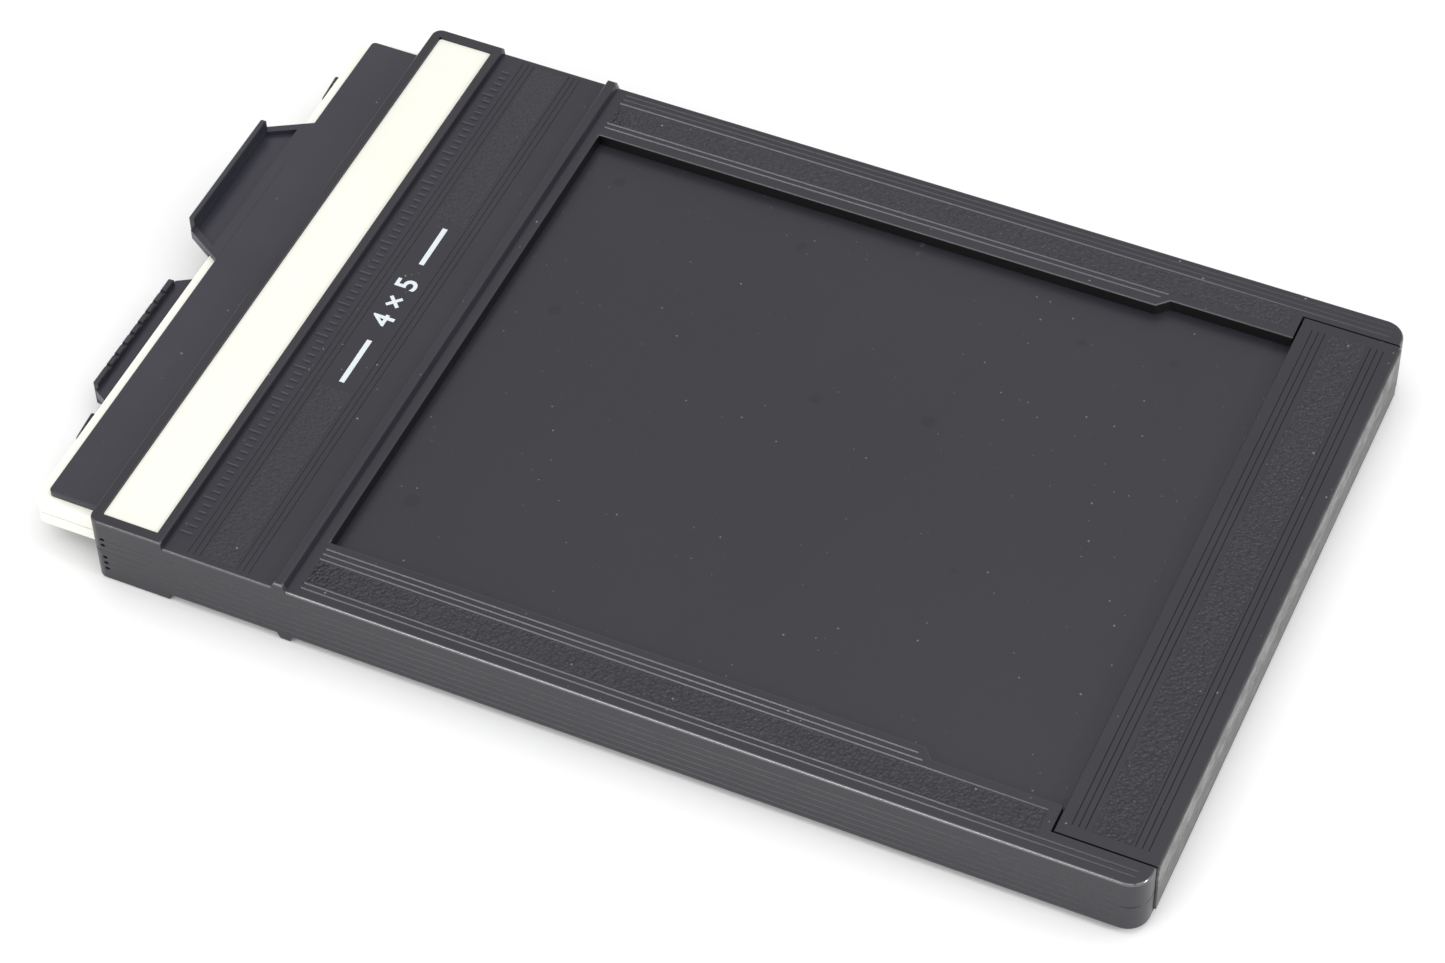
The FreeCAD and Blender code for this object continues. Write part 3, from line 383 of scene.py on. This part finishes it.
def hinge_cloth():
    """Woven grey book cloth, worn pale, darker along its edges and on the lower flap."""
    g = Graph("hinge_cloth")
    warp = g.math("SINE", g.times(g.y, 2 * math.pi / WARP_PITCH))
    weft = g.math("SINE", g.times(g.z, 2 * math.pi / WEFT_PITCH))
    weave = g.times(warp, weft)
    height = g.math("ADD", weave, g.noise(2400.0, 4.0, 0.7))
    wear = g.noise(700.0, 4.0, 0.7, stretch=(1.0, 0.5, 0.0))
    colour = g.mix(g.ramp(wear, 0.35, 0.7), (0.13, 0.13, 0.13), (0.29, 0.29, 0.285))
    colour = g.mix(g.ramp(weave, -1.0, 1.0, 0.0, 0.3), colour, (0.10, 0.10, 0.10))
    colour = g.mix(g.ramp(g.z, MID - 0.0006, MID + 0.0004, 0.62, 0.0), colour, (0.09, 0.09, 0.09))
    edge = g.math("ABSOLUTE", g.math("SUBTRACT", g.z, MID))
    colour = g.mix(g.ramp(edge, 0.0043, 0.0053, 0.0, 0.8), colour, (0.05, 0.05, 0.05))
    return g.finish(colour=colour, roughness=0.85, normal=g.bump(height, 0.4, 0.00008), sheen=0.1)


def felt():
    """Black pile of the light trap."""
    g = Graph("trap_felt")
    pile = g.noise(5200.0, 5.0, 0.8)
    colour = g.mix(pile, (0.006, 0.006, 0.006), (0.022, 0.022, 0.023))
    return g.finish(colour=colour, roughness=0.95, normal=g.bump(pile, 0.9, 0.00015), sheen=0.4)


def trap_brass():
    """Rolled brass strip with a brushed, slightly dulled surface."""
    g = Graph("trap_spring")
    brushed = g.noise(1600.0, 3.0, 0.6, stretch=(1.0, 0.03, 0.0))
    colour = g.mix(brushed, (0.45, 0.31, 0.11), (0.68, 0.50, 0.21))
    return g.finish(colour=colour, roughness=g.ramp(brushed, 0.3, 0.7, 0.28, 0.45), metallic=1.0,
                    normal=g.bump(brushed, 0.15, 0.00005))


def septum_paint():
    """Dull black paint on the septum, rubbed where film slides over it."""
    g = Graph("septum_paint")
    peel = g.noise(2800.0, 3.0, 0.6)
    rub = g.noise(120.0, 4.0, 0.6, stretch=(0.12, 1.0, 0.0))
    colour = g.mix(g.ramp(rub, 0.45, 0.75), (0.012, 0.012, 0.013), (0.026, 0.026, 0.027))
    colour = g.mix(g.times(specks(g, 500.0, 0.02, 0.08), 0.4), colour, (0.3, 0.3, 0.3))
    return g.finish(colour=colour, roughness=g.ramp(rub, 0.4, 0.7, 0.62, 0.48),
                    normal=g.bump(peel, 0.25, 0.00008))


def blackened_wire():
    """Blackened steel wire, rubbed brownish and bright in places."""
    g = Graph("lock_wire")
    rub = g.noise(900.0, 4.0, 0.65)
    colour = g.mix(g.ramp(rub, 0.45, 0.70), (0.035, 0.031, 0.028), (0.22, 0.20, 0.17))
    return g.finish(colour=colour, roughness=g.ramp(rub, 0.4, 0.7, 0.45, 0.3), metallic=0.7,
                    normal=g.bump(g.noise(5000.0), 0.2, 0.00004))


def print_white():
    """White hot-stamped print, thin in places."""
    g = Graph("print_white")
    thin = g.noise(3000.0, 4.0, 0.7)
    colour = g.mix(g.ramp(thin, 0.25, 0.45), (0.48, 0.52, 0.56), (0.66, 0.71, 0.75))
    return g.finish(colour=colour, roughness=0.55, normal=g.bump(thin, 0.1, 0.00004))


def paper_floor():
    """Pale paper sweep."""
    g = Graph("paper_floor")
    tooth = g.noise(700.0, 3.0, 0.6)
    colour = g.mix(tooth, (0.91, 0.91, 0.91), (0.93, 0.93, 0.93))
    return g.finish(colour=colour, roughness=0.8, normal=g.bump(tooth, 0.05, 0.0001))


# The ticks' black is painted lighter than the frame's: a painted highlight on the raised ticks, partly
# rubbed wear.
TICKS_PAINTED_HIGHLIGHT = moulded_black("moulded_ticks", 0.055)
PRINT = print_white()
WIRE = blackened_wire()
GUIDE = moulded_black("moulded_guide", 0.015)
ON_EACH_FACE = {"frame": moulded_black("moulded_frame", 0.017, frame_grain),
                "near_film_guide": GUIDE, "far_film_guide": GUIDE,
                "trap_felt": felt(), "trap_spring": trap_brass(), "label": writing_strip(),
                "slide_blade": slide_sheet(), "slide_face": moulded_black("moulded_handle", 0.026),
                "slide_back": handle_white(), "flap": moulded_black("moulded_flap", 0.0155, flap_grain),
                "hinge_tape": hinge_cloth()}
FINISHES = {"septum": septum_paint(), "near_lock": WIRE, "far_lock": WIRE}
for half in ("upper_", "lower_"):
    FINISHES.update({half + part: material for part, material in ON_EACH_FACE.items()})
for name, material in FINISHES.items():
    for place in NODES[name].material_slots:
        place.material = material


# --------------------------------------------------------------------------------- moulded details
def mesh_piece(name, verts, faces, material, flip):
    """Make a mesh piece on the frame; flip turns it over about the long axis, onto the lower face."""
    if flip:
        verts = [(x, -y, 2 * MID - z) for x, y, z in verts]
    mesh = bpy.data.meshes.new(name)
    mesh.from_pydata(verts, [], faces)
    mesh.materials.append(material)
    piece = bpy.data.objects.new(name, mesh)
    bpy.context.scene.collection.objects.link(piece)
    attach(piece, "frame")


def ridge(verts, faces, x0, x1, y0, y1, z0, height, slope):
    """Add one low raised bar with sloping sides."""
    base = len(verts)
    verts += [(x0, y0, z0), (x1, y0, z0), (x1, y1, z0), (x0, y1, z0)]
    verts += [(x0 + slope, y0 + slope, z0 + height), (x1 - slope, y0 + slope, z0 + height),
              (x1 - slope, y1 - slope, z0 + height), (x0 + slope, y1 - slope, z0 + height)]
    for face in ((4, 5, 6, 7), (0, 1, 5, 4), (1, 2, 6, 5), (2, 3, 7, 6), (3, 0, 4, 7)):
        faces.append(tuple(base + corner for corner in face))


# The row of raised ticks beside the flange, in millimetres
TICKS = 75
TICK_PITCH = 1.5
FIRST_TICK = -55.5
TICK_FOOT = -62.3                           # x of the end away from the flange
LONG_TICK = 2.3                             # every fifth one
SHORT_TICK = 1.5
TICK_HALF_WIDTH = 0.2
TICK_SUNK = 0.02
TICK_HEIGHT = 0.28
TICK_SLOPE = 0.1

# The stamped size and its two bars, in millimetres
PRINT_SIZE = 5.2
PRINT_CENTRE = (-55.9, 0.7)
PRINT_THICK = 0.012
PRINT_STROKE = 0.09                         # how much the strokes are fattened
BAR_ALONG = (-56.4, -55.5)
BARS_ACROSS = ((-18.2, -8.4), (9.8, 18.6))
BAR_THICK = 0.025
BAR_SLOPE = 0.01


def scale_row(name, flip):
    """Raised moulded ticks beside the flange, like a plain ruler as long as the writing strip."""
    verts = []
    faces = []
    for step in range(TICKS):
        y = (FIRST_TICK + TICK_PITCH * step) * MM
        x1 = TICK_FOOT * MM
        x0 = x1 - (LONG_TICK if step % 5 == 0 else SHORT_TICK) * MM
        ridge(verts, faces, x0, x1, y - TICK_HALF_WIDTH * MM, y + TICK_HALF_WIDTH * MM,
              FACE - TICK_SUNK * MM, TICK_HEIGHT * MM, TICK_SLOPE * MM)
    mesh_piece(name, verts, faces, TICKS_PAINTED_HIGHLIGHT, flip)


def size_print(name, flip):
    """The film size as plain numbers between two bars, stamped on the smooth panel."""
    text = bpy.data.curves.new(name, "FONT")
    text.body = "4 × 5"
    text.size = PRINT_SIZE * MM
    text.align_x = "CENTER"
    text.align_y = "CENTER"
    text.offset = PRINT_STROKE * MM
    text.extrude = PRINT_THICK * MM
    shape = bpy.data.objects.new(name + "_text", text)
    bpy.context.scene.collection.objects.link(shape)
    bpy.context.view_layer.update()
    mesh = bpy.data.meshes.new_from_object(shape)
    bpy.data.objects.remove(shape)
    along, side = PRINT_CENTRE
    place = Matrix.Translation((along * MM, side * MM, FACE + PRINT_THICK * MM))
    mesh.transform(place @ Matrix.Rotation(math.pi / 2, 4, "Z"))
    verts = [tuple(v.co) for v in mesh.vertices]
    faces = [tuple(p.vertices) for p in mesh.polygons]
    bpy.data.meshes.remove(mesh)
    x0, x1 = BAR_ALONG
    for y0, y1 in BARS_ACROSS:
        ridge(verts, faces, x0 * MM, x1 * MM, y0 * MM, y1 * MM, FACE, BAR_THICK * MM, BAR_SLOPE * MM)
    mesh_piece(name, verts, faces, PRINT, flip)


for word, flip in (("upper", False), ("lower", True)):
    scale_row(word + "_moulded_ticks", flip)
for word, flip in (("upper", False), ("lower", True)):
    size_print(word + "_size_print", flip)


# ------------------------------------------------------------------------- floor, light and camera
REACH = 8.0                                 # half the floor's width, in metres
floor_mesh = bpy.data.meshes.new("floor")
floor_mesh.from_pydata([(-REACH, -REACH, 0), (REACH, -REACH, 0), (REACH, REACH, 0), (-REACH, REACH, 0)],
                       [], [(0, 1, 2, 3)])
floor_mesh.materials.append(paper_floor())
floor = bpy.data.objects.new("floor", floor_mesh)
bpy.context.scene.collection.objects.link(floor)


def area_light(name, place, target, size, power):
    """Add one soft light that faces a point; its size is in metres and its power in watts."""
    data = bpy.data.lights.new(name, "AREA")
    data.shape = "RECTANGLE"
    data.size, data.size_y = size
    data.energy = power
    light = bpy.data.objects.new(name, data)
    light.location = place
    direction = Vector(target) - Vector(place)
    light.rotation_euler = direction.to_track_quat("-Z", "Y").to_euler()
    bpy.context.scene.collection.objects.link(light)


area_light("overhead_softbox", (0.3, -0.2, 1.4), (0.1, -0.1, 0), (2.0, 2.0), 9.5)
area_light("front_strip", (-0.28, -0.75, 0.60), (0, 0, 0), (0.45, 0.12), 1.6)
area_light("right_strip", (0.85, -0.08, 0.50), (0, 0, 0), (0.2, 0.12), 2.4)

ROOM_LIGHT = 0.81
world = bpy.data.worlds.new("studio")
world.use_nodes = True
background = world.node_tree.nodes["Background"]
background.inputs[0].default_value = (1.0, 1.0, 1.0, 1)
background.inputs[1].default_value = ROOM_LIGHT
bpy.context.scene.world = world
bpy.context.scene.view_settings.view_transform = "Standard"
bpy.context.scene.view_settings.look = "None"

CAMERA_PLACE = (0.1933, -0.4011, 0.5110)
CAMERA_AIM = (0.0062, -0.0089, 0.0068)
CAMERA_ROLL = -1.667                        # degrees
camera_data = bpy.data.cameras.new("camera")
camera_data.sensor_width = 36.0
camera_data.lens = 105.52
camera_data.clip_start = 0.01
camera = bpy.data.objects.new("camera", camera_data)
camera.location = CAMERA_PLACE
view = Vector(CAMERA_AIM) - camera.location
roll = Matrix.Rotation(math.radians(CAMERA_ROLL), 3, "Z")
camera.rotation_euler = (view.to_track_quat("-Z", "Y").to_matrix() @ roll).to_euler()
bpy.context.scene.collection.objects.link(camera)
bpy.context.scene.camera = camera
